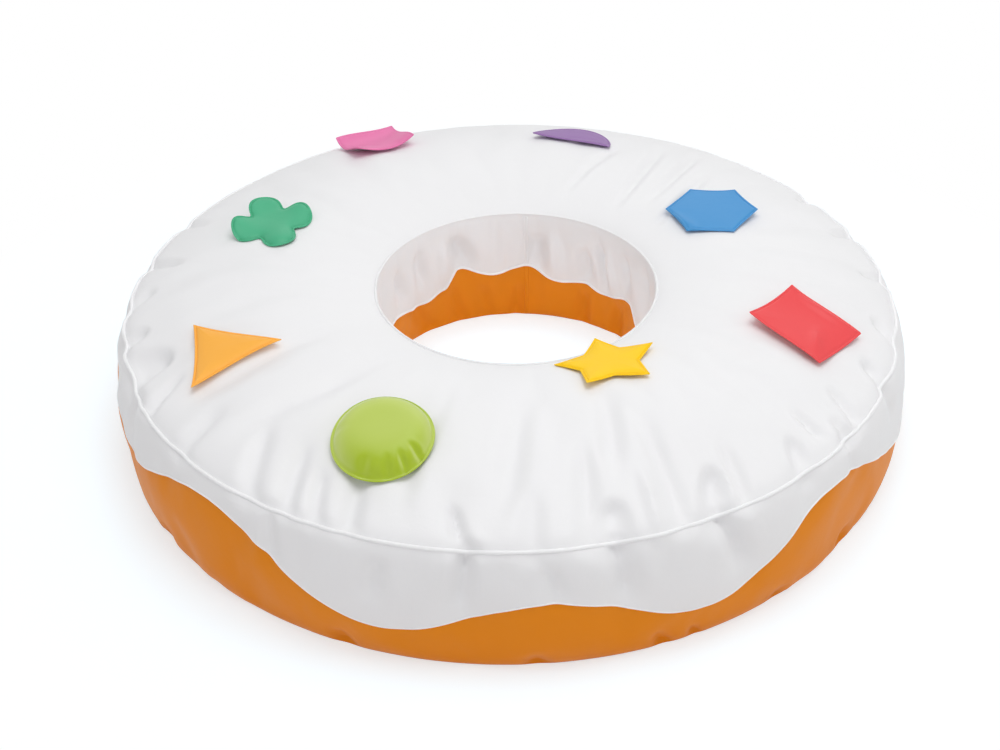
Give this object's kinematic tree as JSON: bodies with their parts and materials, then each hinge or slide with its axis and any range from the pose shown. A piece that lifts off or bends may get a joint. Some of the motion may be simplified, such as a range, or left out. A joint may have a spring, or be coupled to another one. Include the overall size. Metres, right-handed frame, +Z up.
{
  "type": "sensory seat",
  "caption": "Ring-shaped bead-filled floor seat for children with a crowned white top, a scalloped white edge over orange walls and peel-off coloured touch pads.",
  "frame": {"origin": "on the floor at the ring's axis, which is the centre of the base", "axes": "+Z up along the ring's axis, -Y to the front of the seat, +X to its right seen from the front"},
  "size_m": [1.2022, 1.2029, 0.2549],
  "materials": {
    "beads": "matte",
    "bag_cloth": "matte",
    "white_leatherette": "satin",
    "orange_leatherette": "satin",
    "cord_fibre": "matte",
    "zip_tape": "matte",
    "zip_plastic": "satin",
    "zip_metal": "satin",
    "loop_pile": "matte",
    "hook_pile": "matte",
    "pad_wadding": "matte",
    "pink_leatherette": "satin",
    "purple_leatherette": "satin",
    "blue_leatherette": "satin",
    "red_leatherette": "satin",
    "yellow_leatherette": "satin",
    "lime_leatherette": "satin",
    "light_orange_leatherette": "satin",
    "green_leatherette": "satin"
  },
  "bodies": {
    "seat": {"bead_filling": "beads", "inner_bag": "bag_cloth", "top_panel": "white_leatherette", "outer_wall": "orange_leatherette", "hole_wall": "orange_leatherette", "base_panel": "orange_leatherette", "outer_icing": "white_leatherette", "hole_icing": "white_leatherette", "rim_piping": "white_leatherette", "rim_piping_cord": "cord_fibre", "hole_piping": "white_leatherette", "hole_piping_cord": "cord_fibre", "zip_tapes": "zip_tape", "zip_teeth": "zip_plastic", "zip_stops": "zip_plastic", "zip_end_tabs": "orange_leatherette", "loop_patches": "loop_pile"},
    "pink_square": {"pink_square_front": "pink_leatherette", "pink_square_padding": "pad_wadding", "pink_square_back": "pink_leatherette", "pink_square_hook": "hook_pile"},
    "purple_half_disc": {"purple_half_disc_front": "purple_leatherette", "purple_half_disc_padding": "pad_wadding", "purple_half_disc_back": "purple_leatherette", "purple_half_disc_hook": "hook_pile"},
    "blue_hexagon": {"blue_hexagon_front": "blue_leatherette", "blue_hexagon_padding": "pad_wadding", "blue_hexagon_back": "blue_leatherette", "blue_hexagon_hook": "hook_pile"},
    "red_rectangle": {"red_rectangle_front": "red_leatherette", "red_rectangle_padding": "pad_wadding", "red_rectangle_back": "red_leatherette", "red_rectangle_hook": "hook_pile"},
    "yellow_star": {"yellow_star_front": "yellow_leatherette", "yellow_star_padding": "pad_wadding", "yellow_star_back": "yellow_leatherette", "yellow_star_hook": "hook_pile"},
    "lime_disc": {"lime_disc_front": "lime_leatherette", "lime_disc_padding": "pad_wadding", "lime_disc_back": "lime_leatherette", "lime_disc_hook": "hook_pile"},
    "orange_triangle": {"orange_triangle_front": "light_orange_leatherette", "orange_triangle_padding": "pad_wadding", "orange_triangle_back": "light_orange_leatherette", "orange_triangle_hook": "hook_pile"},
    "green_clover": {"green_clover_front": "green_leatherette", "green_clover_padding": "pad_wadding", "green_clover_back": "green_leatherette", "green_clover_hook": "hook_pile"},
    "zip_slider": {"zip_slider": "zip_metal"}
  },
  "joints": [
    {"name": "pink_square_lift", "type": "slide", "parent": "seat", "child": "pink_square", "axis": [-0.1303, 0.2558, 0.9579], "range_m": [0, 0.2]},
    {"name": "purple_half_disc_lift", "type": "slide", "parent": "seat", "child": "purple_half_disc", "axis": [0.0527, 0.1938, 0.9796], "range_m": [0, 0.2]},
    {"name": "blue_hexagon_lift", "type": "slide", "parent": "seat", "child": "blue_hexagon", "axis": [-0.0043, -0.0022, 1], "range_m": [0, 0.2]},
    {"name": "red_rectangle_lift", "type": "slide", "parent": "seat", "child": "red_rectangle", "axis": [0.1672, -0.0625, 0.9839], "range_m": [0, 0.2]},
    {"name": "yellow_star_lift", "type": "slide", "parent": "seat", "child": "yellow_star", "axis": [-0.0995, 0.173, 0.9799], "range_m": [0, 0.2]},
    {"name": "lime_disc_lift", "type": "slide", "parent": "seat", "child": "lime_disc", "axis": [-0.0606, -0.1501, 0.9868], "range_m": [0, 0.2]},
    {"name": "orange_triangle_lift", "type": "slide", "parent": "seat", "child": "orange_triangle", "axis": [-0.1592, -0.0773, 0.9842], "range_m": [0, 0.2]},
    {"name": "green_clover_lift", "type": "slide", "parent": "seat", "child": "green_clover", "axis": [-0.0645, 0.0249, 0.9976], "range_m": [0, 0.2]},
    {"name": "zip_travel", "type": "hinge", "parent": "seat", "child": "zip_slider", "pos_m": [0, 0, 0], "axis": [0, 0, 1], "range_deg": [0, 47.86]}
  ]
}
